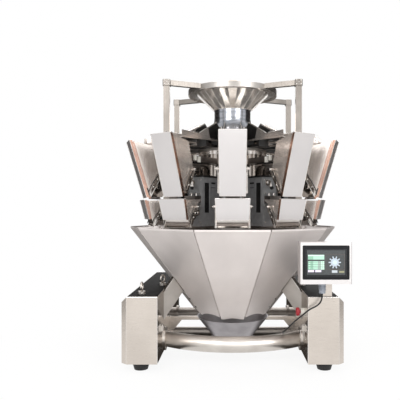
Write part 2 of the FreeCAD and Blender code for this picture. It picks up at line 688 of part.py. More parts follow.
def cable_glands():
    """Connector under the panel and the gland on the cabinet's inner wall."""
    under = cylinder(GLAND_R, (GLAND_X, GLAND_Y, PANEL_LOW), (GLAND_X, GLAND_Y, PANEL_LOW - GLAND_LONG))
    wall = cylinder(WALL_GLAND_R, (BOX_INNER, WALL_GLAND_Y, TUBE_Z),
                    (BOX_INNER - WALL_GLAND_LONG, WALL_GLAND_Y, TUBE_Z))
    return [under, wall]


def cable():
    """Straight runs joined by tangent arcs, each as large as its two runs allow."""
    points = [V(*p) for p in CABLE_ROUTE]
    edges, here, length, radii = [], points[0], 0.0, []
    for before, at, after in zip(points, points[1:], points[2:]):
        into, out = (at - before), (after - at)
        reach = 0.45 * min(into.Length, out.Length)
        into, out = into.normalize(), out.normalize()
        turn = into.getAngle(out)
        radius = reach / math.tan(turn / 2)
        start, end = at - into * reach, at + out * reach
        to_centre = (out - into).normalize()
        centre = at + to_centre * (radius / math.cos(turn / 2))
        edges += [Part.LineSegment(here, start).toShape(), Part.Arc(start, centre - to_centre * radius, end).toShape()]
        length += (start - here).Length + radius * turn
        radii.append(radius)
        here = end
    edges.append(Part.LineSegment(here, points[-1]).toShape())
    length += (points[-1] - here).Length
    section = Part.Wire([Part.Circle(points[0], points[1] - points[0], CABLE_R).toShape()])
    tube = Part.Wire(edges).makePipeShell([section], True, True)
    print("cable arc radii", [round(r) for r in radii], "length", round(length),
          "volume ratio", round(tube.Volume / (math.pi * CABLE_R ** 2 * length), 4))
    return tube


# ---------------------------------------------------------------- small fittings
def stop_base():
    outer = cylinder(STOP_BASE_R, (BOX_INNER, STOP_Y, STOP_Z), (BOX_INNER - STOP_BASE, STOP_Y, STOP_Z))
    bore = cylinder(STOP_STEM_R + PIN_FIT, (BOX_INNER - 4, STOP_Y, STOP_Z), (BOX_INNER - STOP_BASE - 1, STOP_Y, STOP_Z))
    return outer.cut(bore)


def stop_button():
    face = BOX_INNER - STOP_BASE - STOP_TRAVEL - 2
    head = cylinder(STOP_HEAD_R, (face, STOP_Y, STOP_Z), (face - STOP_HEAD, STOP_Y, STOP_Z))
    rim = [e for e in head.Edges if e.CenterOfMass.x < face - STOP_HEAD + 1]
    head = head.makeFillet(5, rim)
    stem = cylinder(STOP_STEM_R, (face - 1, STOP_Y, STOP_Z), (BOX_INNER - 4 - STOP_TRAVEL - 1, STOP_Y, STOP_Z))
    return head.fuse(stem).removeSplitter()


def eye_bolt(x, y, turn):
    collar = Part.makeCylinder(EYE_COLLAR_R, EYE_COLLAR, V(0, 0, 0))
    ring = Part.makeTorus(EYE_RING_R, EYE_WIRE_R, V(0, 0, EYE_COLLAR + EYE_RING_R + EYE_WIRE_R - 2), V(0, 1, 0))
    bolt = collar.fuse(ring).removeSplitter()
    bolt.rotate(V(0, 0, 0), V(0, 0, 1), turn)
    bolt.translate(V(x, y, BOX_TOP))
    return bolt


def wall_clamps():
    block = box(BOX_INNER - 12, BOX_INNER, CLAMP_Y - CLAMP / 2, CLAMP_Y + CLAMP / 2, CLAMP_Z - CLAMP / 2, CLAMP_Z + CLAMP / 2)
    return mirrored(block)


def main():
    os.makedirs("parts", exist_ok=True)
    save("base_boxes", mirrored(base_box()))
    save("rubber_feet", feet())
    save("front_bow_tube", [bow_tube()])
    save("cross_tubes", cross_tubes())
    save("outlet_supports", outlet_supports())
    save("outlet_cone", [outlet_cone()])
    save("support_arms", support_arms())
    save("central_column", [decagon(COLUMN_APOTHEM, COLUMN_BOTTOM, DRIVE_TOP)])
    save("drive_units", at_heads(drive_unit()))
    save("drive_top_plate", [drive_plate()])
    save("polished_drum", [Part.makeCylinder(DRUM_R, DRUM_HEIGHT, V(0, 0, DRIVE_PLATE_TOP))])
    save("drum_band", [Part.makeCylinder(DRUM_BAND_R, DRUM_BAND, V(0, 0, DRUM_TOP))])
    save("feeder_deck", [Part.makeCylinder(DECK_R, DECK_HEIGHT, V(0, 0, BAND_TOP))])
    save("chute_panels", collecting_chute())
    for name, h in (("feed", FEED), ("weigh", WEIGH)):
        save(name + "_hopper_sides", [s for side in hopper_sides(h) for s in at_heads(side)])
        save(name + "_hopper_walls", [s for wall in hopper_walls(h) for s in at_heads(wall)])
        save(name + "_hopper_covers", at_heads(cover(h)))
        for i, flap in enumerate(at_heads(gate(h))):
            save("%s_gate_%02d" % (name, i + 1), [flap])
    save("hopper_hangers", at_heads(feed_hanger()) + at_heads(weigh_hanger()))
    save("feeder_pan_floors", at_heads(pan_floor()))
    save("feeder_pan_sides", [s for side in pan_sides() for s in at_heads(side)])
    save("vibrators", at_heads(vibrator()))
    save("dispersion_cone", [dispersion_cone()])
    save("infeed_cone", [infeed_cone()])
    save("infeed_neck", [infeed_neck()])
    save("infeed_posts", at_posts(lambda x, y: fused([post(x, y), post_bracket(x, y)])))
    save("post_caps", at_posts(post_cap))
    save("post_arms", at_posts(post_arm))
    save("panel_housing", [panel_housing()])
    save("panel_bezel", [bezel_plate(1.0)])
    save("panel_post", [panel_post()])
    save("cable_glands", cable_glands())
    save("panel_cable", [cable()])
    save("stop_base", [stop_base()])
    save("stop_button", [stop_button()])
    save("eye_bolts", [eye_bolt(*place) for place in EYES])
    save("wall_clamps", wall_clamps())


main()
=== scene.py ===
"""Looks of the ten-head weigher: its finishes, screen, cable, fasteners and drives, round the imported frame.

The camera and the stage are in metres and the pieces in millimetres, in the frame's own axes. A head's place
is (r outwards, s sideways, z up), and head 1 faces the operator at -Y.
"""
import json
import math
import bpy
import numpy as np
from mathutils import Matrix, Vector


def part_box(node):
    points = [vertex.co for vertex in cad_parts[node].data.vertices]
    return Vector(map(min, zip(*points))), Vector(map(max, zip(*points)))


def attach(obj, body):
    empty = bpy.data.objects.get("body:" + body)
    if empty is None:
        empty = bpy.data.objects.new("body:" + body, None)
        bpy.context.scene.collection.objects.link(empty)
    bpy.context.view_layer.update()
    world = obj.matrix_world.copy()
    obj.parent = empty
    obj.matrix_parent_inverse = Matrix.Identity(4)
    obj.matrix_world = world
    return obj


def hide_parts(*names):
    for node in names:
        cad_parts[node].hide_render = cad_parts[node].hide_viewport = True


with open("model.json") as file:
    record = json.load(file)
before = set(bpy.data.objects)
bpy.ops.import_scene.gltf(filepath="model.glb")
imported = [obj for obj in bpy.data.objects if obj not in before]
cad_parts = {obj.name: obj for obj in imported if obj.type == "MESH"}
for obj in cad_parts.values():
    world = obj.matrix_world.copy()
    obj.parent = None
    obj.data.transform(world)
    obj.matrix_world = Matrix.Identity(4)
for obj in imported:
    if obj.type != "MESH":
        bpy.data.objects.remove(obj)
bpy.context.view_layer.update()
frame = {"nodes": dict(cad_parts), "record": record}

MM = 0.001
HEADS = 10
PITCH = 2 * math.pi / HEADS


# ---------------------------------------------------------------- camera
def camera(place, lens, shift):
    """Level camera that looks along +Y."""
    data = bpy.data.cameras.new("operator_view")
    data.lens, data.sensor_width = lens, 36.0
    data.shift_x, data.shift_y = shift
    data.clip_end = 60
    seat = bpy.data.objects.new("operator_view", data)
    seat.location = place
    seat.rotation_euler = (math.pi / 2, 0, 0)
    bpy.context.collection.objects.link(seat)
    bpy.context.scene.camera = seat


camera((0, -2.738, 0.728), 45.8, (-0.0816, 0.0255))
bpy.context.scene.view_settings.view_transform = "Standard"


# ---------------------------------------------------------------- materials
def rgb(code, alpha=1.0):
    """sRGB hex to linear colour."""
    parts = [int(code[i:i + 2], 16) / 255 for i in (1, 3, 5)]
    return tuple(c / 12.92 if c < 0.04045 else ((c + 0.055) / 1.055) ** 2.4 for c in parts) + (alpha,)


def add(tree, kind, links=None, **settings):
    """Add one node: settings are its own properties, links its inputs, as a value or another socket."""
    node = tree.nodes.new("ShaderNode" + kind)
    for key, value in settings.items():
        setattr(node, key, value)
    for key, value in (links or {}).items():
        if isinstance(value, bpy.types.NodeSocket):
            tree.links.new(value, node.inputs[key])
        else:
            node.inputs[key].default_value = value
    return node


def material(name):
    """A new node material with its tree and shader."""
    made = bpy.data.materials.new(name)
    made.use_nodes = True
    tree = made.node_tree
    tree.nodes.clear()
    shader = add(tree, "BsdfPrincipled")
    out = add(tree, "OutputMaterial")
    tree.links.new(shader.outputs[0], out.inputs[0])
    return made, tree, shader


def position(tree, size, offset=(0, 0, 0)):
    """Object coordinates divided by the size of one feature along each axis, in millimetres."""
    where = add(tree, "TexCoord").outputs["Object"]
    scale = tuple(1 / (MM * s) for s in size)
    return add(tree, "Mapping", {"Vector": where, "Scale": scale, "Location": offset}).outputs[0]


def cloud(tree, size, detail=2.0, offset=(0, 0, 0)):
    """Noise whose blobs measure about size millimetres along each axis."""
    return add(tree, "TexNoise", {"Vector": position(tree, size, offset), "Scale": 1.0, "Detail": detail,
                                  "Roughness": 0.5}).outputs["Fac"]


def spread(tree, value, low, high, start=0.35, end=0.65):
    """Stretch a 0..1 pattern to the range low..high."""
    return add(tree, "MapRange", {"Value": value, "From Min": start, "From Max": end, "To Min": low,
                                  "To Max": high}).outputs[0]


def blend(tree, share, first, second):
    """Colour between two by a share."""
    return add(tree, "Mix", {"Factor": share, 6: first, 7: second}, data_type="RGBA").outputs[2]


def bump(tree, height, strength, depth_mm):
    return add(tree, "Bump", {"Height": height, "Strength": strength, "Distance": depth_mm * MM}).outputs[0]


def brushed(name, light, dark, rough, grain, cloud_mm, strength=0.07, metallic=1.0):
    """Rolled stainless sheet with a satin grain: fine lines, soft clouds of handling marks."""
    made, tree, shader = material(name)
    lines = cloud(tree, grain, 3.0)
    clouds = cloud(tree, cloud_mm, 3.0, (3.1, 1.7, 5.3))
    share = spread(tree, clouds, 0.0, 1.0)
    streak = spread(tree, lines, -0.07, 0.07)
    both = add(tree, "Math", {0: share, 1: streak}, operation="ADD", use_clamp=True).outputs[0]
    tree.links.new(blend(tree, both, rgb(light), rgb(dark)), shader.inputs["Base Color"])
    shader.inputs["Metallic"].default_value = metallic
    tree.links.new(spread(tree, lines, rough - 0.05, rough + 0.07), shader.inputs["Roughness"])
    tree.links.new(bump(tree, lines, strength, 0.05), shader.inputs["Normal"])
    return made


def polished(name, light, dark, rough, wave_mm, wave=0.15, depth=0.35, metallic=1.0):
    """Mirror-polished stainless: nearly clear reflections, gently buckled as thin sheet is."""
    made, tree, shader = material(name)
    clouds = cloud(tree, wave_mm, 2.0)
    colour = blend(tree, spread(tree, clouds, 0, 1), rgb(light), rgb(dark))
    tree.links.new(colour, shader.inputs["Base Color"])
    shader.inputs["Metallic"].default_value = metallic
    smears = cloud(tree, (9, 9, 60), 3.0)
    tree.links.new(spread(tree, smears, rough - 0.02, rough + 0.05), shader.inputs["Roughness"])
    tree.links.new(bump(tree, clouds, wave, depth), shader.inputs["Normal"])
    return made


def moulded(name, light, dark, rough, grit_mm, strength=0.1, specular=0.5, coat=0.0):
    """Plastic, rubber or enamel: one colour with slight mottling and an orange-peel skin."""
    made, tree, shader = material(name)
    grit = cloud(tree, (grit_mm,) * 3, 2.0)
    mottle = cloud(tree, (grit_mm * 14,) * 3, 3.0)
    colour = blend(tree, spread(tree, mottle, 0, 1), rgb(light), rgb(dark))
    tree.links.new(colour, shader.inputs["Base Color"])
    tree.links.new(spread(tree, grit, rough - 0.05, rough + 0.06), shader.inputs["Roughness"])
    tree.links.new(bump(tree, grit, strength, 0.12), shader.inputs["Normal"])
    shader.inputs["Specular IOR Level"].default_value = specular
    shader.inputs["Coat Weight"].default_value = coat
    return made


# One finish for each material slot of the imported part. Grain and clouds are sizes in millimetres.
FINISH = {
    "satin_steel": brushed("satin_rolled_stainless", "#D6CDC4", "#CFC6BD", 0.32,
                           (60, 60, 1.6), (120, 120, 160)),
    "tube_steel": brushed("polished_stainless_tube", "#D8D2CB", "#C9C2BB", 0.34,
                          (30, 1.6, 1.6), (90, 60, 60), 0.05),
    "matt_steel": brushed("matt_spun_stainless", "#ACA8AA", "#9A9698", 0.38, (40, 40, 1.5), (90, 90, 60)),
    "chute_steel": brushed("fine_satin_stainless_sheet", "#E0D9D6", "#D8D1CE", 0.50,
                           (2.0, 2.0, 70), (140, 140, 220), 0.03, 0.55),
    "cover_steel": brushed("satin_stainless_cover", "#DAD6D5", "#DEDAD9", 0.34,
                           (2.0, 2.0, 60), (120, 120, 200), 0.04, 0.85),
    "mirror_steel": polished("mirror_polished_stainless", "#D6D1CC", "#C6C0BA", 0.09, (60, 60, 90)),
    "dark_enamel": moulded("dark_grey_enamel", "#A2A2A3", "#939394", 0.34, 1.6, 0.05, 0.5, 0.2),
    "black_enamel": moulded("black_enamel", "#1E1D1C", "#141312", 0.30, 1.6, 0.05, 0.5, 0.2),
    "panel_black": moulded("black_moulded_bezel", "#191A1D", "#141517", 0.38, 0.9, 0.05, 0.2),
    "grey_plastic": moulded("grey_nylon", "#8F949D", "#7F848D", 0.45, 1.2, 0.10),
    "white_plastic": moulded("white_moulded_plastic", "#EDEBE4", "#E4E1D8", 0.35, 1.2, 0.05),
    "red_plastic": moulded("red_moulded_plastic", "#B4202E", "#A01826", 0.32, 1.2, 0.05, 0.5, 0.2),
    "cable_black": moulded("black_cable_sheath", "#1B1A1A", "#131212", 0.45, 0.8, 0.15),
    "foot_rubber": moulded("black_foot_rubber", "#1C1A19", "#121110", 0.55, 1.8, 0.25),
}

# Sheets with a finish of their own, apart from their slot; several are toned lighter or darker to paint light
# or shade, as noted on each.
# Satin steel toned down for the posts, their arms and caps: painted shade that keeps them from washing out
# under the key lamp.
POST_STEEL = brushed("square_tube_painted_shade", "#8F8983", "#847E78", 0.36, (1.6, 1.6, 40), (60, 60, 120), 0.04)
# Dark grey steel for the hopper hangers and the central column: painted shade and dark reflection, so that
# they read as set back.
SHADE_STEEL = brushed("steel_painted_shade", "#7D7671", "#6A6460", 0.40, (40, 40, 2.0), (60, 60, 60), 0.05)
ARM_STEEL = brushed("satin_arm_plate", "#B7B1AB", "#A8A29C", 0.33, (60, 2.0, 2.0), (90, 90, 90), 0.04)
# Tube steel toned down for the cross tubes: painted shade for tubes that sit dark behind the outlet; the
# feeder deck shares it.
CROSS_STEEL = brushed("cross_tube_painted_shade", "#AAA49E", "#9A948F", 0.40, (2.0, 40, 40), (60, 60, 60), 0.05)
# Darker skin over the infeed rim's front band: painted shade, so that the band does not wash out white.
RIM_BAND_SHADE = brushed("rim_band_painted_shade", "#B3AEA9", "#A8A39E", 0.34, (60, 60, 2.0), (90, 90, 60), 0.03)
DRUM_STEEL = polished("buffed_drum_sheet", "#D2CAC3", "#A79F98", 0.10, (20, 20, 200), 0.2)
# Near-white polished steel on the drum's band: a painted highlight.
BAND_STEEL = polished("drum_band_painted_highlight", "#F1ECE7", "#E2DCD6", 0.18, (60, 60, 60), 0.05)
# Blue-grey steel with thin level bands on the infeed neck: painted reflection of the cone above it.
NECK_STEEL = polished("neck_sheet_painted_reflection", "#AFB1B7", "#93969C", 0.20, (60, 60, 14), 0.25)
# Brown-toned mirror steel on the covers' side returns and webs: painted reflection.
WEB_STEEL = polished("mirror_sheet_painted_brown_reflection", "#B79585", "#A38477", 0.16, (60, 60, 90), 0.05)
HOPPER_STEEL = polished("fine_ground_hopper_sheet", "#D6CEC8", "#CBC2BB", 0.20,
                        (80, 80, 120), 0.05, 0.35, 0.75)
# Near-white, less metallic steel on the infeed cone: painted light that brightens it beyond bare steel.
CONE_STEEL = polished("cone_sheet_painted_light", "#FDF9F3", "#F4EEE8", 0.13, (40, 40, 60), 0.08, 0.35, 0.82)
OWN = {
    "feed_hopper_sides": HOPPER_STEEL, "weigh_hopper_sides": HOPPER_STEEL, "feeder_pan_sides": HOPPER_STEEL,
    "infeed_posts": POST_STEEL, "post_arms": POST_STEEL, "post_caps": POST_STEEL,
    "hopper_hangers": SHADE_STEEL, "central_column": SHADE_STEEL,
    "cross_tubes": CROSS_STEEL, "feeder_deck": CROSS_STEEL, "support_arms": ARM_STEEL,
    "polished_drum": DRUM_STEEL, "drum_band": BAND_STEEL,
    "infeed_cone": CONE_STEEL, "infeed_neck": NECK_STEEL}
for part in frame["record"]["subparts"]:
    node = frame["nodes"][part["node"]]
    for place in node.material_slots:
        place.material = OWN.get(part["node"], FINISH[part["material_slot"]])


# ---------------------------------------------------------------- stage: floor, world, lights
def ray_is(tree, *kinds):
    """1 for a ray of any of the kinds, else 0."""
    ray = add(tree, "LightPath")
    found = ray.outputs[kinds[0]]
    for kind in kinds[1:]:
        found = add(tree, "Math", {0: found, 1: ray.outputs[kind]}, operation="MAXIMUM").outputs[0]
    return found


def sky():
    """White world: full strength to the eye and in reflections, weaker as a light."""
    world = bpy.data.worlds.new("studio")
    bpy.context.scene.world = world
    world.use_nodes = True
    tree = world.node_tree
    tree.nodes.clear()
    seen = ray_is(tree, "Is Camera Ray", "Is Glossy Ray", "Is Transmission Ray")
    power = add(tree, "MapRange", {"Value": seen, "To Min": 0.55, "To Max": 1.0})
    shine = add(tree, "Background", {"Color": (1, 1, 1, 1), "Strength": power.outputs[0]})
    tree.links.new(shine.outputs[0], add(tree, "OutputWorld").inputs[0])


def floor():
    """Pale floor that takes a soft shadow near the machine and fades to plain white away from it."""
    made, tree, shader = material("pale_studio_floor")
    shader.inputs["Base Color"].default_value = rgb("#F4F3F1")
    shader.inputs["Roughness"].default_value = 0.9
    white = add(tree, "Emission", {"Color": (1, 1, 1, 1), "Strength": 1.0})
    seen = ray_is(tree, "Is Camera Ray", "Is Glossy Ray")
    where = add(tree, "TexCoord").outputs["Object"]
    away = add(tree, "VectorMath", {0: where}, operation="LENGTH").outputs["Value"]
    fade = add(tree, "MapRange", {"Value": away, "From Min": 0.5, "From Max": 1.3, "To Min": 0.90,
                                  "To Max": 1.0})
    share = add(tree, "Math", {0: seen, 1: fade.outputs[0]}, operation="MULTIPLY")
    mix = add(tree, "MixShader", {0: share.outputs[0], 1: shader.outputs[0], 2: white.outputs[0]})
    out = [n for n in tree.nodes if n.bl_idname == "ShaderNodeOutputMaterial"][0]
    tree.links.new(mix.outputs[0], out.inputs[0])
    half = 9.0
    square = [(-half, -half, 0), (half, -half, 0), (half, half, 0), (-half, half, 0)]
    mesh = bpy.data.meshes.new("studio_floor")
    mesh.from_pydata(square, [], [(0, 1, 2, 3)])
    mesh.materials.append(made)
    ground = bpy.data.objects.new("studio_floor", mesh)
    bpy.context.collection.objects.link(ground)


def flag(name, corners_at):
    """Dark studio flag that only reflections see, so that bright sheet has something to be seen against."""
    made, tree, shader = material(name + "_cloth")
    shader.inputs["Base Color"].default_value = (0, 0, 0, 1)
    shader.inputs["Specular IOR Level"].default_value = 0.0
    shader.inputs["Emission Color"].default_value = rgb("#3B3632")
    shader.inputs["Emission Strength"].default_value = 1.0
    mesh = bpy.data.meshes.new(name)
    mesh.from_pydata(corners_at, [], [(0, 1, 2, 3)])
    mesh.materials.append(made)
    cloth = bpy.data.objects.new(name, mesh)
    bpy.context.collection.objects.link(cloth)
    cloth.visible_camera = cloth.visible_diffuse = cloth.visible_shadow = False


def mat(name, x0, x1, y0, y1):
    """Flag that lies just above the floor."""
    z = 0.004
    flag(name, [(x0, y0, z), (x1, y0, z), (x1, y1, z), (x0, y1, z)])


def lamp(name, place, aim, size, power):
    """Plain softbox, width and height in metres, that faces a point."""
    data = bpy.data.lights.new(name, "AREA")
    data.shape, data.size, data.size_y = "RECTANGLE", size[0], size[1]
    data.energy = power
    light = bpy.data.objects.new(name, data)
    light.location = place
    away = np.array(place, float) - np.array(aim, float)
    yaw = math.atan2(away[1], away[0]) + math.pi / 2
    light.rotation_euler = (math.atan2(math.hypot(away[0], away[1]), away[2]), 0, yaw)
    bpy.context.collection.objects.link(light)


sky()
floor()
FLAG_X, FLAG_TOP = 3.4, 3.4
FLAG_FRONT, MAT_BACK, FLAG_BACK = -0.1, 0.62, 8.5
for side, where in (("left", -FLAG_X), ("right", FLAG_X)):
    flag(side + "_flag", [(where, FLAG_FRONT, 0.05), (where, FLAG_BACK, 0.05),
                          (where, FLAG_BACK, FLAG_TOP), (where, FLAG_FRONT, FLAG_TOP)])
    mat(side + "_mat", 0.22 * where, where, FLAG_FRONT, MAT_BACK)
mat("rear_mat", -FLAG_X, FLAG_X, MAT_BACK, FLAG_BACK)
mat("middle_mat", -0.32, 0.32, 0.0, MAT_BACK)
mat("left_strip", -0.37, -0.27, -0.5, 0.0)
mat("right_strip", 0.27, 0.37, -0.5, 0.0)
lamp("key_softbox", (-1.4, -3.0, 2.4), (0, 0, 0.7), (1.6, 1.6), 41)
lamp("fill_softbox", (1.8, -2.8, 1.8), (0, 0, 0.7), (1.4, 2.0), 42)
lamp("front_softbox", (0, -3.3, 0.9), (0, 0, 0.8), (2.2, 1.6), 9)
lamp("top_softbox", (0, 0.3, 3.2), (0, 0, 0.7), (2.0, 2.0), 40)
lamp("rear_softbox", (0.4, 3.0, 2.0), (0, 0, 0.7), (2.0, 1.6), 25)


# ---------------------------------------------------------------- surfaces
def quads(rows, cols, close_rows=False, close_cols=False):
    """Faces of a grid of points, row by row; either direction may close on itself."""
    i = np.arange(rows if close_rows else rows - 1)[:, None]
    j = np.arange(cols if close_cols else cols - 1)[None, :]
    down, right = (i + 1) % rows, (j + 1) % cols
    corners = [i * cols + j, i * cols + right, down * cols + right, down * cols + j]
    return np.stack(corners, -1).reshape(-1, 4).tolist()


def lathe(profile, sides=24, closed=False, start=0.0):
    """(r, h) profile turned round local z: (r cos t, r sin t, h).

    Flat caps end it, or the profile closes on itself.
    """
    r, h = np.array(profile, float).T
    t = start + np.arange(sides) * 2 * math.pi / sides
    points = np.stack([r[:, None] * np.cos(t), r[:, None] * np.sin(t), h[:, None] + 0 * t], -1)
    faces = quads(len(r), sides, closed, True)
    if not closed:
        last = (len(r) - 1) * sides
        faces += [list(range(sides))[::-1], [last + k for k in range(sides)]]
    return points.reshape(-1, 3), faces


def sweep(section, path, up=(0, 0, 1), closed=False):
    """Section (side, up) carried along a path: path + x side + y normal, framed by the tangent and up."""
    path = np.array(path, float)
    section = np.array(section, float)
    if closed:
        tangent = np.roll(path, -1, 0) - np.roll(path, 1, 0)
    else:
        tangent = np.gradient(path, axis=0)
    tangent /= np.linalg.norm(tangent, axis=1, keepdims=True)
    side = np.cross(tangent, np.array(up, float))
    side /= np.linalg.norm(side, axis=1, keepdims=True)
    normal = np.cross(side, tangent)
    points = path[:, None] + section[None, :, :1] * side[:, None] + section[None, :, 1:] * normal[:, None]
    rows, cols = len(path), len(section)
    faces = quads(rows, cols, closed, True)
    if not closed:
        last = (rows - 1) * cols
        faces += [list(range(cols))[::-1], [last + k for k in range(cols)]]
    return points.reshape(-1, 3), faces


def round_section(radius, sides=10):
    t = np.arange(sides) * 2 * math.pi / sides
    return np.stack([radius * np.cos(t), radius * np.sin(t)], -1)


def slab(outline, normal):
    """Flat outline of 3-D points pushed along a vector: outline + normal."""
    outline = np.array(outline, float)
    n = len(outline)
    points = np.concatenate([outline, outline + np.array(normal, float)])
    sides = [[k, (k + 1) % n, n + (k + 1) % n, n + k] for k in range(n)]
    return points, sides + [list(range(n))[::-1], [n + k for k in range(n)]]


def block(low, high):
    (a, b, c), (d, e, f) = low, high
    return slab([(a, b, c), (d, b, c), (d, e, c), (a, e, c)], (0, 0, f - c))


def copies(shape, places, aims):
    """The shape at every place, its local z turned to the place's aim."""
    points, faces = shape
    places, z = np.array(places, float), np.array(aims, float)
    z = z / np.linalg.norm(z, axis=1, keepdims=True)
    flat = np.abs(z[:, 2:]) < 0.95
    x = np.cross(np.where(flat, [0.0, 0.0, 1.0], [0.0, 1.0, 0.0]), z)
    x /= np.linalg.norm(x, axis=1, keepdims=True)
    y = np.cross(z, x)
    turned = points @ np.stack([x, y, z], 1)
    made = (turned + places[:, None]).reshape(-1, 3)
    return made, [[k + i * len(points) for k in f] for i in range(len(places)) for f in faces]


def joined(shapes):
    points, faces, base = [], [], 0
    for p, f in shapes:
        points.append(p)
        faces += [[k + base for k in face] for face in f]
        base += len(p)
    return np.concatenate(points), faces


def at_head(shape, i):
    """A shape in the head frame (r, s, z) turned to head i, counted from 0 at the front."""
    points, faces = shape
    a = PITCH * i
    r, s, z = points.T
    return np.stack([r * math.sin(a) + s * math.cos(a), s * math.sin(a) - r * math.cos(a), z], -1), faces


def at_heads(shape):
    return joined([at_head(shape, i) for i in range(HEADS)])


def both_sides(shape):
    """The shape and its mirror image across the machine's middle plane."""
    points, faces = shape
    return joined([shape, (points * (-1, 1, 1), [f[::-1] for f in faces])])


def piece(name, shape, finish, body="frame", smooth=32, unit=MM):
    """One object from a shape: in millimetres unless told, rides on a body, sharp above the smooth angle."""
    points, faces = shape
    mesh = bpy.data.meshes.new(name)
    mesh.from_pydata((points * unit).tolist(), [], faces)
    mesh.materials.append(finish)
    mesh.polygons.foreach_set("use_smooth", [True] * len(mesh.polygons))
    mesh.set_sharp_from_angle(angle=math.radians(smooth))
    mesh.update()
    made = bpy.data.objects.new(name, mesh)
    bpy.context.collection.objects.link(made)
    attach(made, body)
    return made


# ---------------------------------------------------------------- fasteners
def hex_bolt(across, height, washer=None):
    """Hexagon head with a chamfered top on a round washer."""
    r = across / math.sqrt(3)
    head = lathe([(r, 0), (r, height * 0.8), (r * 0.86, height)], 6)
    washer = washer or across * 0.62
    plate = lathe([(washer, -1.0), (washer, 0.6), (washer - 0.6, 0.9)], 16)
    return joined([head, plate])


def dome_screw(radius, height):
    """Button head: a quarter ellipse turned, with a flat where the socket is."""
    t = np.linspace(0, 1.25, 6)
    return lathe(np.stack([radius * np.cos(t), height * np.sin(t)], -1), 14)


def corners(node):
    """A CAD node's box in millimetres."""
    low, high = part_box(node)
    return np.array(low) / MM, np.array(high) / MM


# ---------------------------------------------------------------- extra finishes
# Near-white polished finish for thin beads along edges, seams, folds and rims: a painted highlight on each of
# them.
EDGE_HIGHLIGHT = polished("edge_bead_painted_highlight", "#F4F0EC", "#E6E1DC", 0.16, (20, 20, 20), 0.05)
BOLT = polished("zinc_bright_fastener", "#D8D5D0", "#BDB9B4", 0.18, (4, 4, 4), 0.05)
# Dark discs for the pans' holes: painted shade seen through them.
HOLE_SHADE = moulded("pan_hole_painted_shade", "#33312F", "#262423", 0.35, 0.8, 0.05)
# Black sheet: the hangers' dark clamp plates, painted shade in the drive units' slots, and painted dark
# reflection on the pans' tall cheeks.
BLACK_SHEET_AND_PAINTED_SHADE_AND_REFLECTION = moulded("black_sheet_and_painted_shade_and_reflection", "#211F1E", "#181615", 0.30, 3.0, 0.02, 0.35)
# Black sheet over the steel box tops: painted dark reflection.
BOX_TOP_DARK_REFLECTION = moulded("box_top_painted_dark_reflection", "#191716", "#121010", 0.66, 3.0, 0.05, 0.08)
SEAL = moulded("black_rubber_seal", "#171615", "#100F0E", 0.5, 0.8, 0.1)


# ---------------------------------------------------------------- screen
PANEL_LOW, PANEL_HIGH = corners("panel_bezel")
SCREEN_W, SCREEN_H = PANEL_HIGH[0] - PANEL_LOW[0], PANEL_HIGH[2] - PANEL_LOW[2]
SCREEN_FACE = PANEL_LOW[1]


def lit(name, colour, glow=0.35):
    """A lit field of the display under its matt cover film: flat colour with a faint mottle."""
    made, tree, shader = material(name)
    mottle = cloud(tree, (1.6, 1.6, 1.6), 2.0)
    shade = blend(tree, spread(tree, mottle, 0.0, 0.25), rgb(colour), rgb("#8E9AA0"))
    tree.links.new(shade, shader.inputs["Base Color"])
    tree.links.new(shade, shader.inputs["Emission Color"])
    shader.inputs["Emission Strength"].default_value = glow
    shader.inputs["Roughness"].default_value = 0.4
    return made


LAYER = 0.25                  # how far each layer of the display stands out from the one under it


def field(across, up, layer):
    """Rectangle on the bezel's face: shares of its width and height, and how many layers it stands proud."""
    x0, x1 = (PANEL_LOW[0] + SCREEN_W * a for a in across)
    z0, z1 = (PANEL_LOW[2] + SCREEN_H * a for a in up)
    front = SCREEN_FACE - LAYER * layer
    return block((x0, front, z0), (x1, SCREEN_FACE + 0.1, z1))


def frame_line(across, up, layer, width):
    """Four strips round a rectangle."""
    (a, b), (c, d) = across, up
    w, h = width / SCREEN_W, width / SCREEN_H
    strips = (((a, b), (c, c + h)), ((a, b), (d - h, d)),
              ((a, a + w), (c + h, d - h)), ((b - w, b), (c + h, d - h)))
    return joined([field(x, z, layer) for x, z in strips])


def star(centre, layer, disc, reach, arm):
    """Ten rounded arms round a disc: the plan of the ten hoppers."""
    cx, cz = PANEL_LOW[0] + SCREEN_W * centre[0], PANEL_LOW[2] + SCREEN_H * centre[1]
    front = SCREEN_FACE - LAYER * layer
    shapes = []
    t = np.linspace(-math.pi / 2, math.pi / 2, 7)
    for k in range(HEADS):
        a = PITCH * k
        end = np.stack([reach + arm * np.cos(t), arm * np.sin(t)], -1)
        outline = np.concatenate([[[0, -arm * 0.6]], end, [[0, arm * 0.6]]])
        x = cx + outline[:, 0] * math.cos(a) - outline[:, 1] * math.sin(a)
        z = cz + outline[:, 0] * math.sin(a) + outline[:, 1] * math.cos(a)
        shapes.append(slab(np.stack([x, np.full(len(x), front + 0.02), z], -1), (0, 0.2, 0)))
    sides = 40
    t = np.arange(sides) * 2 * math.pi / sides
    rim = np.stack([cx + disc * np.cos(t), np.full(sides, front), cz + disc * np.sin(t)], -1)
    shapes.append(slab(rim, (0, 0.2, 0)))
    return joined(shapes)


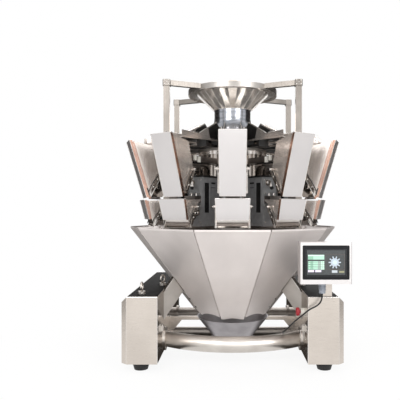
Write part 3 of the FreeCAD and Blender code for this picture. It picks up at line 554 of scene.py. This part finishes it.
def table():
    """The display's table: a pale heading, then rows of label, value, unit and bar."""
    pale, mid = lit("display_pale_green", "#C2E6D0"), lit("display_green", "#A3CDB6")
    label, dim = lit("display_label", "#7FAE93"), lit("display_grey_green", "#92A99B")
    left, split, right = 0.115, 0.222, 0.46
    cells = {pale: [((left, right), (0.687, 0.727), 2)],
             mid: [((0.224, right), (0.588, 0.685), 2)],
             label: [((left, split), (0.588, 0.685), 2)],
             dim: []}
    rows = np.linspace(0.292, 0.545, 6)
    for low, high in zip(rows, rows[1:]):
        cell = (low + 0.004, high - 0.004)
        cells[label].append(((left, split), cell, 2))
        cells[mid].append(((0.224, 0.328), cell, 2))
        cells[dim].append(((0.330, 0.388), cell, 2))
        cells[pale].append(((0.390, right), cell, 2))
        cells[dim].append(((0.415, 0.435), (low + 0.014, high - 0.014), 3))
        cells[pale].append(((0.125, 0.165), (low + 0.017, high - 0.017), 3))
    return [(finish.name + "_fields", [field(*cell) for cell in places], finish)
            for finish, places in cells.items()]


def screen():
    """Dark display with a table, buttons and a plan of the hoppers; nothing on it is lettering."""
    made = [("screen_glass", [field((0.09, 0.91), (0.14, 0.86), 1)], lit("display_black", "#262422", 0.02)),
            ("screen_border", [frame_line((0.066, 0.934), (0.105, 0.885), 1, 1.1)],
             moulded("bezel_moulded_rib", "#3D3E42", "#36373B", 0.4, 0.9))]
    made += table()
    buttons = [field((0.115, 0.242), (0.222, 0.283), 2), field((0.268, 0.396), (0.222, 0.283), 2)]
    grey, olive = field((0.622, 0.74), (0.202, 0.275), 2), field((0.776, 0.886), (0.202, 0.258), 2)
    plan = (0.683, 0.506)
    made += [("screen_buttons", buttons, lit("display_mauve", "#DCCFEA")),
             ("screen_grey_button", [grey], lit("display_grey", "#B3B9BE", 0.3)),
             ("screen_olive_button", [olive], lit("display_olive", "#8B8965", 0.1)),
             ("screen_star", [star(plan, 3, 17.5, 24.5, 2.6)], lit("display_silver", "#AEB8C3", 0.3)),
             ("screen_hub", [star(plan, 4, 7.0, 9.0, 1.2)], lit("display_light_blue", "#BFD8E4", 0.35)),
             ("screen_frame_line", [frame_line((0.494, 0.896), (0.302, 0.742), 2, 0.7)],
              lit("display_dull_orange", "#5E3A28", 0.15))]
    for name, shapes, finish in made:
        piece(name, joined(shapes), finish)


screen()


# ---------------------------------------------------------------- cable
GLAND_X, GLAND_Y, GLAND_LONG = 395.0, -494.0, 44.0
WALL_X, WALL_GLAND, WALL_Y, WALL_Z = 338.0, 20.0, -112.0, 90.0
PANEL_BASE = corners("panel_housing")[0][2]
CABLE_R = 3.5
CABLE_ROUTE = [
    (GLAND_X, GLAND_Y, PANEL_BASE - GLAND_LONG), (GLAND_X, GLAND_Y, 331.0), (375.0, -490.0, 306.0),
    (340.0, -484.0, 289.0), (312.0, -462.0, 258.0), (284.0, -415.0, 222.0), (262.0, -350.0, 178.0),
    (250.0, -300.0, 149.0), (247.0, -255.0, 137.0), (250.0, -205.0, 120.0), (258.0, -160.0, 104.0),
    (272.0, -126.0, 93.0), (296.0, WALL_Y, WALL_Z), (WALL_X - WALL_GLAND, WALL_Y, WALL_Z)]


def cable():
    """Round black lead from the panel's connector to the cabinet's gland, a smooth curve near its route."""
    curve = bpy.data.curves.new("panel_lead", "CURVE")
    curve.dimensions = "3D"
    line = curve.splines.new("NURBS")
    line.points.add(len(CABLE_ROUTE) - 1)
    for point, place in zip(line.points, CABLE_ROUTE):
        point.co = tuple(c * MM for c in place) + (1.0,)
    line.order_u = 3
    line.use_endpoint_u = True
    line.resolution_u = 12
    curve.bevel_depth = CABLE_R * MM
    curve.bevel_resolution = 5
    curve.use_fill_caps = True
    curve.materials.append(FINISH["cable_black"])
    lead = bpy.data.objects.new("panel_lead", curve)
    bpy.context.collection.objects.link(lead)
    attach(lead, "frame")
    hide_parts("panel_cable")


cable()


def connectors():
    """Ribbed cable clamp under the panel and a domed nut gland at the wall."""
    ribs = []
    for k in range(6):
        h = 12.0 + 4.2 * k
        ribs += [(13.0, h), (16.2, h + 0.8), (16.2, h + 2.4), (13.0, h + 3.2)]
    profile = [(6.0, 0.0), (9.0, 4.0), (12.4, 9.0)] + ribs + [(14.5, 38.0), (14.5, GLAND_LONG)]
    clamp = copies(lathe(profile, 28), [(GLAND_X, GLAND_Y, PANEL_BASE - GLAND_LONG)], [(0, 0, 1)])
    nut = lathe([(17.5, 0), (17.5, 7.0), (16.0, 8.0)], 6)
    nut = copies(nut, [(GLAND_X, GLAND_Y, PANEL_BASE - 8.4)], [(0, 0, 1)])
    wall = [(5.0, 0.0), (8.5, 2.5), (10.5, 7.0), (11.0, 12.0), (12.2, 12.4), (12.2, 19.0)]
    gland = copies(lathe(wall, 24), [(WALL_X - WALL_GLAND, WALL_Y, WALL_Z)], [(1, 0, 0)])
    piece("cable_clamp_ribs", joined([clamp, nut]), FINISH["grey_plastic"])
    piece("wall_gland_nut", gland, FINISH["grey_plastic"])


connectors()


# ---------------------------------------------------------------- hoppers and gates (r, z)
FEED = {
    "low_in": (393.0, 925.0), "low_out": (455.0, 812.0), "pivot": (403.0, 918.0), "half": 58.0, "ear": 69.0,
    "nut": 75.0, "cover": ((555.0, 1075.0), (470.0, 791.0)), "cover_half": (61.0, 58.5),
    "roller": (402.0, 846.0), "bolts": (48.0, 92.0), "wall": ((532.0, 1070.0), (455.0, 812.0)),
    "web": (1068.0, 838.0)}
WEIGH = {
    "low_in": (386.0, 750.0), "low_out": (440.0, 655.0), "pivot": (397.0, 743.0), "half": 72.0, "ear": 81.0,
    "nut": 87.0, "cover": ((484.0, 779.0), (460.0, 683.0)), "cover_half": (78.0, 73.0),
    "roller": (388.0, 688.0), "bolts": (40.0, 62.0), "wall": ((462.0, 776.0), (440.0, 655.0)),
    "web": (774.0, 690.0)}
BOTH = (FEED, WEIGH)


def along_gate(h, along, inward):
    """A place on a gate: so far down its slope and so far in from the hopper's open edge, as (r, z)."""
    a, b = np.array(h["low_in"]), np.array(h["low_out"])
    down = (b - a) / np.linalg.norm(b - a)
    return a + down * along + np.array([down[1], -down[0]]) * inward


def gate_fittings(h):
    """Screws on both ears, a black seal along each ear's edge, and a bush in the roller."""
    long = np.linalg.norm(np.array(h["low_out"]) - np.array(h["low_in"]))
    t = np.linspace(0, 1, 9)
    bright, dark = [], []
    for sign in (-1, 1):
        s = sign * h["ear"]
        places = [(r, s, z) for r, z in (along_gate(h, along, 1.0) for along in h["bolts"])]
        bright.append(copies(dome_screw(4.2, 2.6), places, [(0, sign, 0)] * 2))
        edge = [along_gate(h, 22 + (long - 22) * k, -7 - 5 * math.sin(math.pi * k)) for k in t]
        strip = [(r, s + sign * 0.6, z) for r, z in edge]
        dark.append(sweep([(-1.6, -1.2), (1.6, -1.2), (1.6, 1.2), (-1.6, 1.2)], strip, (0, 1, 0)))
    r, z = h["roller"]
    bush = lathe([(5.5, -0.5), (5.5, 0.8), (4.0, 1.4)], 14)
    for sign in (-1, 1):
        dark.append(copies(bush, [(r, sign * 8.0, z)], [(0, sign, 0)]))
    return joined(bright), joined(dark)


def gates():
    """Each gate's own fittings, which ride on it."""
    for kind, h in (("feed", FEED), ("weigh", WEIGH)):
        bright, dark = gate_fittings(h)
        for i in range(HEADS):
            body = "%s_gate_%02d" % (kind, i + 1)
            piece(body + "_screws", at_head(bright, i), BOLT, body)
            piece(body + "_seal", at_head(dark, i), SEAL, body)


def hinge_nuts(h):
    """Domed nuts on the gate studs."""
    r, z = h["pivot"]
    out = h["nut"]
    hexagon, dome = [(6.4, 0), (6.4, 3.4), (5.6, 4.2)], [(4.6, 4.0), (4.4, 5.4), (3.0, 6.6)]
    nut = joined([lathe(hexagon, 6), lathe(dome, 12)])
    return copies(nut, [(r, -out, z), (r, out, z)], [(0, -1, 0), (0, 1, 0)])


def cover_edges(h):
    """Round beads down both sides and along both ends of a cover, whose near-white finish paints the
    highlight along its rolled edges.
    """
    (tr, tz), (br, bz) = h["cover"]
    top, low = h["cover_half"]
    ring = [(tr, -top, tz), (tr, top, tz), (br, low, bz), (br, -low, bz)]
    beads = []
    for a, b in zip(ring, ring[1:] + ring[:1]):
        up = (0.3, 0.1, 1) if abs(a[1] - b[1]) > 20 else (1, 0.1, 0)
        beads.append(sweep(round_section(1.3, 8), [a, b], up))
    return joined(beads)


def cover_webs(h):
    """Thin sides that close the space between a hopper's outer wall and its cover."""
    def r_at(line, z):
        (top_r, top_z), (low_r, low_z) = line
        return low_r + (top_r - low_r) * (z - low_z) / (top_z - low_z)

    top, low = h["web"]
    webs = []
    for sign in (-1, 1):
        s = sign * (h["half"] - 0.6)
        outline = [(r_at(h["wall"], top) + 0.5, s, top), (r_at(h["cover"], top) - 1.0, s, top),
                   (r_at(h["cover"], low) - 1.0, s, low), (r_at(h["wall"], low) + 0.5, s, low)]
        webs.append(slab(outline, (0, -sign * 0.9, 0)))
    return joined(webs)


def return_skins(h):
    """Thin skins on both side returns of a cover, whose brown tone paints the reflection seen there."""
    (tr, tz), (br, bz) = h["cover"]
    wide, narrow = h["cover_half"]
    near, deep = 1.5, 14
    skins = []
    for sign in (-1, 1):
        top, low = sign * (wide + 0.1), sign * (narrow + 0.1)
        outline = [(tr - near, top, tz - 1), (br - near, low, bz + 1),
                   (br - deep, low, bz + 1), (tr - deep, top, tz - 1)]
        skins.append(slab(outline, (0, sign * 0.4, 0)))
    return joined(skins)


gates()
piece("cover_return_skins", at_heads(joined([return_skins(h) for h in BOTH])), WEB_STEEL)
# The webs take the same brown tone: painted reflection.
piece("cover_webs", at_heads(joined([cover_webs(h) for h in BOTH])), WEB_STEEL)
piece("hinge_nuts", at_heads(joined([hinge_nuts(h) for h in BOTH])), BOLT)
piece("cover_edges", at_heads(joined([cover_edges(h) for h in BOTH])), EDGE_HIGHLIGHT)


# ---------------------------------------------------------------- drive units
DRIVE_OUT, DRIVE_HALF = 308.0, 43.0
SIDES = (-1, 1)


def side_block(sign, radial, proud, height, sunk=0.4):
    """Thin block on one side of a drive unit: its reach outwards, how far it stands proud, its heights."""
    inner, outer = sorted((sign * (DRIVE_HALF - sunk), sign * (DRIVE_HALF + proud)))
    return block((radial[0], inner, height[0]), (radial[1], outer, height[1]))


def drive_faces():
    """Face plates and raised side frames on every drive unit."""
    half, sunk, proud = 36, 0.5, 2.5
    plates = [block((DRIVE_OUT - sunk, -half, low), (DRIVE_OUT + proud, half, high))
              for low, high in ((664, 756), (804, 882))]
    bars = (((250, 254), (706, 872)), ((294, 298), (706, 872)),
            ((254, 294), (706, 710)), ((254, 294), (868, 872)))
    frames = [side_block(sign, radial, 1.4, height) for sign in SIDES for radial, height in bars]
    return joined(plates + frames)


def drive_slots():
    """Black plates in the drive units' sides: painted shade inside their slots and vents."""
    slots = (((206, 238), (858, 866)), ((206, 238), (838, 841)), ((258, 290), (716, 862)))
    return joined([side_block(sign, radial, 0.5, height) for sign in SIDES for radial, height in slots])


def crank(z, s, drop):
    """Actuator crank on its boss: a round boss, a tapering arm and a roller at its end."""
    boss = lathe([(15, 0), (15, 9), (11, 10), (11, 17), (9.5, 18.5)], 22)
    boss = copies(boss, [(DRIVE_OUT, s, z)], [(1, 0, 0)])
    sign = math.copysign(1, drop)
    back, big, small = DRIVE_OUT + 12, 12, 7
    tip_s, tip_z = s * 0.3, z - drop
    quarter = np.linspace(-math.pi / 2, math.pi / 2, 7)[3:]
    outline = [(back, s + big * math.cos(k), z + sign * big * math.sin(k)) for k in quarter]
    outline += [(back, s - big * math.cos(k), z + sign * big * math.sin(k)) for k in quarter[::-1]]
    outline += [(back, tip_s - small, tip_z), (back, tip_s, tip_z - sign * small),
                (back, tip_s + small, tip_z)]
    arm = slab(outline, (5, 0, 0))
    roller = lathe([(7.5, 0), (8, 1), (8, 9), (7.5, 10)], 18)
    roller = copies(roller, [(DRIVE_OUT + 17, tip_s, tip_z)], [(1, 0, 0)])
    return boss, arm, roller


def hanger_blocks():
    """White nylon blocks and dark clamp plates at both sides of a feed hopper's hanger."""
    white, dark = [], []
    for sign in SIDES:
        low, high = sorted((sign * 33.8, sign * 44.0))
        white.append(block((322, low, 958), (338, high, 986)))
        white.append(block((352, low, 966), (364, high, 990)))
        dark.append(block((312, low, 950), (372, high, 957.5)))
    return joined(white), joined(dark)


def drives():
    """Everything that shows on the drive units and on the hangers over them."""
    white, dark = hanger_blocks()
    piece("hanger_blocks", at_heads(white), FINISH["white_plastic"])
    piece("hanger_clamps", at_heads(dark), BLACK_SHEET_AND_PAINTED_SHADE_AND_REFLECTION)
    piece("drive_faces", at_heads(drive_faces()), FINISH["dark_enamel"])
    piece("drive_slots", at_heads(drive_slots()), BLACK_SHEET_AND_PAINTED_SHADE_AND_REFLECTION)
    cranks = [crank(862, -16, 26), crank(716, 16, 26)]
    arms = joined([part for boss, arm, _ in cranks for part in (boss, arm)])
    rollers = joined([roller for _, _, roller in cranks])
    piece("crank_arms", at_heads(arms), FINISH["mirror_steel"])
    piece("crank_rollers", at_heads(rollers), FINISH["cable_black"])
    places = [(DRIVE_OUT + 2.5, s, z) for s in (-30, 30) for z in (670, 750, 810, 876)]
    screws = copies(dome_screw(4.0, 2.4), places, [(1, 0, 0)] * len(places))
    stands = [(322.0, s, 797.0) for s in (-15, 15)]
    pegs = copies(lathe([(6, 0), (6, 12), (5, 14)], 16), stands, [(0, 0, 1)] * len(stands))
    piece("drive_screws", at_heads(joined([screws, pegs])), BOLT)


drives()


# ---------------------------------------------------------------- collecting chute
CHUTE_TOP, CHUTE_FOOT = (549.0, 642.0), (193.0, 191.0)
OPEN_SEAMS = (54, -54, 126, -126)
TIGHT_SEAMS = (18, -18, 90, -90, 162, -162)


def seam_place(angle, share, out=0.0, beside=0.0):
    """A place on a chute seam: share 0 at the rim and 1 at the foot, then outwards and sideways."""
    r, z = (a + (b - a) * share for a, b in zip(CHUTE_TOP, CHUTE_FOOT))
    a = math.radians(angle)
    r += out
    return (r * math.sin(a) + beside * math.cos(a), beside * math.sin(a) - r * math.cos(a), z)


def seam_out(angle):
    """Direction out of the chute at a seam."""
    a = math.radians(angle)
    return (math.sin(a), -math.cos(a), 0.9)


def flat_section(half, thick):
    """Rectangle as a sweep's section, from half its width and half its thickness."""
    return [(-half, -thick), (half, -thick), (half, thick), (-half, thick)]


def chute_trim():
    """Laps close the tight seams; open ones have a near-white bead each side, a painted highlight, a dark
    strip in the gap near the foot, painted shade, and two clasps near the foot.
    """
    laps = []
    for a in TIGHT_SEAMS:
        line = [seam_place(a, share, -1.0) for share in (0.02, 0.985)]
        laps.append(sweep(flat_section(3.6, 0.7), line, seam_out(a)))
    piece("chute_seam_laps", joined(laps), FINISH["chute_steel"])
    pad = lathe([(6.5, -1.0), (6.5, 3.0), (5.5, 3.6)], 6)
    pin = lathe([(3.0, 3.0), (3.0, 7.5), (2.2, 8.3)], 14)
    edges, gap_shade_strips, pads, pins = [], [], [], []
    for a in OPEN_SEAMS:
        out = seam_out(a)
        for beside in (-3.2, 3.2):
            line = [seam_place(a, share, 0.2, beside) for share in (0.02, 0.97)]
            edges.append(sweep(round_section(1.3, 8), line, out))
        # Dark strip just inside the open seam near its foot: painted shade in the gap.
        line = [seam_place(a, share, -3.0) for share in (0.74, 0.97)]
        gap_shade_strips.append(sweep(flat_section(2.2, 0.6), line, out))
        for share in (0.80, 0.90):
            pads.append(copies(pad, [seam_place(a, share, 1.0)], [out]))
            pins.append(copies(pin, [seam_place(a, share, 1.0)], [out]))
    piece("open_seam_edges", joined(edges), EDGE_HIGHLIGHT)
    piece("open_seam_gap_shade_and_pads", joined(gap_shade_strips + pads), SEAL)
    piece("seam_clasp_pins", joined(pins), BOLT)


chute_trim()


# ---------------------------------------------------------------- feeder pans
PAN_IN, PAN_OUT, PAN_HALF_IN, PAN_HALF_OUT = 130.0, 466.0, 36.0, 52.0


def pan_half(r):
    """Half a pan's width at a radius."""
    return PAN_HALF_IN + (r - PAN_IN) * (PAN_HALF_OUT - PAN_HALF_IN) / (PAN_OUT - PAN_IN)


def pans():
    """Near-white beads along the edges, painted highlights; black plates at the tall inner ends, a painted
    dark reflection; and rows of dark discs along the outer sides, painted shade seen through the holes.
    """
    edge = [(130, 1112), (191, 1171), (311, 1112), (335, 1098), (466, 1098)]
    tall = [(134, 1083), (134, 1110), (191, 1166), (262, 1131), (246, 1083)]
    beads, cheeks, holes = [], [], []
    for sign in (-1, 1):
        line = [(r, sign * (pan_half(r) - 1), z) for r, z in edge]
        beads += [sweep(round_section(1.5, 8), [a, b], (0, 1, 0)) for a, b in zip(line, line[1:])]
        for side in (-3.1, 0.3):
            outline = [(r, sign * (pan_half(r) + side), z) for r, z in tall]
            cheeks.append(slab(outline, (0, sign * 0.8, 0)))
        for z in (1076.5, 1084.5, 1092.5):
            places = [(r, sign * (pan_half(r) - 0.2), z) for r in np.arange(344, 462, 9.0)]
            holes.append(copies(lathe([(2.1, 0), (2.1, 0.5)], 8), places, [(0, sign, 0)] * len(places)))
    piece("pan_edges", at_heads(joined(beads)), EDGE_HIGHLIGHT)
    piece("pan_cheeks_painted_reflection", at_heads(joined(cheeks)), BLACK_SHEET_AND_PAINTED_SHADE_AND_REFLECTION)
    piece("pan_holes", at_heads(joined(holes)), HOLE_SHADE)


pans()


# ---------------------------------------------------------------- infeed
def ring(radius, z, thick, sides=96):
    """Round wire bent to a ring: a circle of ten sides turned round the axis."""
    t = np.arange(10) * 2 * math.pi / 10
    return lathe(np.stack([radius + thick * np.cos(t), z + thick * np.sin(t)], -1), sides, closed=True)


FLATS = 26
NECK_FOLD, RIM_FOLD = (100, 1259), (192, 1344)
BAND_R, BAND_LOW, BAND_TOP = 237.1, 1338.5, 1364.5


def infeed():
    """Rolled rim and weld bead at the neck in the near-white bead finish, a painted highlight; bright lines
    on the folds between the cone's flats, painted highlights; a darker skin on the rim's band, painted shade;
    and the tab.
    """
    folds = []
    for k in range(FLATS):
        a = 2 * math.pi * (k + 0.5) / FLATS
        x, y = math.sin(a), -math.cos(a)
        line = [(r * x, r * y, z) for r, z in (NECK_FOLD, RIM_FOLD)]
        folds.append(sweep(round_section(0.7, 6), line, (x, y, 0.1)))
    rim = joined([ring(235.8, 1364.0, 1.9), ring(235.8, 1338.4, 1.4)])
    piece("infeed_rolled_rim", rim, EDGE_HIGHLIGHT)
    piece("infeed_folds", joined(folds + [ring(99.5, 1259, 1.2)]), EDGE_HIGHLIGHT)
    # The band skin is darker than the cone: painted shade on the rim's front.
    outer = BAND_R + 0.6
    band = [(BAND_R, BAND_LOW), (outer, BAND_LOW), (outer, BAND_TOP), (BAND_R, BAND_TOP)]
    piece("rim_band_skin", lathe(band, 96, closed=True), RIM_BAND_SHADE)
    piece("rim_tab", block((-21, -239.5, 1362), (21, -232, 1367.5)), FINISH["satin_steel"])


infeed()


# ---------------------------------------------------------------- posts and caps
POST_X, POST_Y, CAP, CAP_LOW, CAP_TOP = 324.0, 232.0, 38.0, 1339.0, 1372.0


def posts():
    """Five screws on each corner cap's face, and a sleeve on the inner face of both front posts."""
    spots, aims = [], []
    for sx in (-1, 1):
        for sy in (-1, 1):
            for dx, dz in ((-11, -9), (11, -9), (-11, 9), (11, 9), (0, 0)):
                spots.append((sx * POST_X + dx, sy * (POST_Y + CAP / 2), (CAP_LOW + CAP_TOP) / 2 + dz))
                aims.append((0, sy, 0))
    piece("cap_screws", copies(dome_screw(2.8, 1.6), spots, aims), BOLT)
    sleeve = block((POST_X - 18.5, -POST_Y - 13, 1010), (POST_X - 15, -POST_Y + 13, 1202))
    piece("post_sleeves", both_sides(sleeve), FINISH["satin_steel"])


posts()


# ---------------------------------------------------------------- base
BOX_LOW, BOX_HIGH = corners("base_boxes")
WALL, OUTER = 338.0, BOX_HIGH[0]
CHAMFER = 26.0


def base_trim():
    """Black sheets on the box tops, a painted dark reflection; mirror linings; near-white beads on the folded
    edges, a painted highlight; clamp bolts and the hanging link.
    """
    top, low = BOX_HIGH[2], BOX_LOW[2]
    y0, y1 = BOX_LOW[1], BOX_HIGH[1]
    inset = OUTER - CHAMFER
    x0, x1, under = WALL + 2, inset - 2, top - 0.2
    sheet = slab([(x0, y0 + 3, under), (x1, y0 + 3, under), (x1, y1 - 3, under), (x0, y1 - 3, under)],
                 (0, 0, 1.2))
    piece("box_top_dark_reflection_sheets", both_sides(sheet), BOX_TOP_DARK_REFLECTION)
    lining = block((WALL - 0.3, y0 + 4, low + 3), (WALL + 0.2, y1 - 4, top - 3))
    piece("box_inner_linings", both_sides(lining), FINISH["mirror_steel"])
    beads = []
    for y in (y0, y1):
        beads += [sweep(round_section(1.5, 8), [(WALL, y, top), (inset, y, top)], (0, 0, 1)),
                  sweep(round_section(1.5, 8), [(WALL, y, low), (WALL, y, top)], (1, 0, 0)),
                  sweep(round_section(1.0, 8), [(inset, y, low), (inset, y, top)], (1, 0, 0))]
    beads.append(sweep(round_section(1.0, 8), [(WALL, y0, top), (WALL, y1, top)], (0, 0, 1)))
    piece("box_edges", both_sides(joined(beads)), EDGE_HIGHLIGHT)
    bolts = copies(hex_bolt(8.0, 5.0, 5.0), [(WALL - 6, y, 182.0) for y in (-331, -319)], [(0, 0, 1)] * 2)
    piece("clamp_bolts", both_sides(bolts), BOLT)
    t = np.linspace(0, 2 * math.pi, 32, endpoint=False)
    wide, straight = 7.0, 15
    shift = straight * np.sign(np.sin(t)) * (np.abs(np.sin(t)) > 0.01)
    path = np.stack([328 + wide * np.cos(t), np.full(len(t), -325.0), 138 + wide * np.sin(t) + shift], -1)
    piece("hanging_link", sweep(round_section(2.2, 8), path, (0, 1, 0), closed=True), BOLT)


base_trim()


def arm_edges():
    """Strip along the top fold of each sloping arm, whose near-white finish paints the highlight on the fold.
    """
    foot_r, width, shift, slope, foot_z = WALL / math.sin(math.radians(54)), 22.0, 15.0, 1.19, 321.0
    column = 172.0 / math.cos(math.radians(18)) - 4
    outer = foot_r - 14
    line = [(r, 0, foot_z + slope * (foot_r - r) + 0.6) for r in (outer, column)]
    points, faces = sweep(flat_section(width / 2 + 0.4, 1.0), line, (0, 0, 1))
    made = []
    for angle, side in ((-54, -1), (54, 1), (-126, 1), (126, -1)):
        a = math.radians(angle)
        r, s, z = points[:, 0], points[:, 1] + side * shift, points[:, 2]
        x, y = r * math.sin(a) + s * math.cos(a), s * math.sin(a) - r * math.cos(a)
        made.append((np.stack([x, y, z], -1), faces))
    piece("arm_edges", joined(made), EDGE_HIGHLIGHT)


arm_edges()
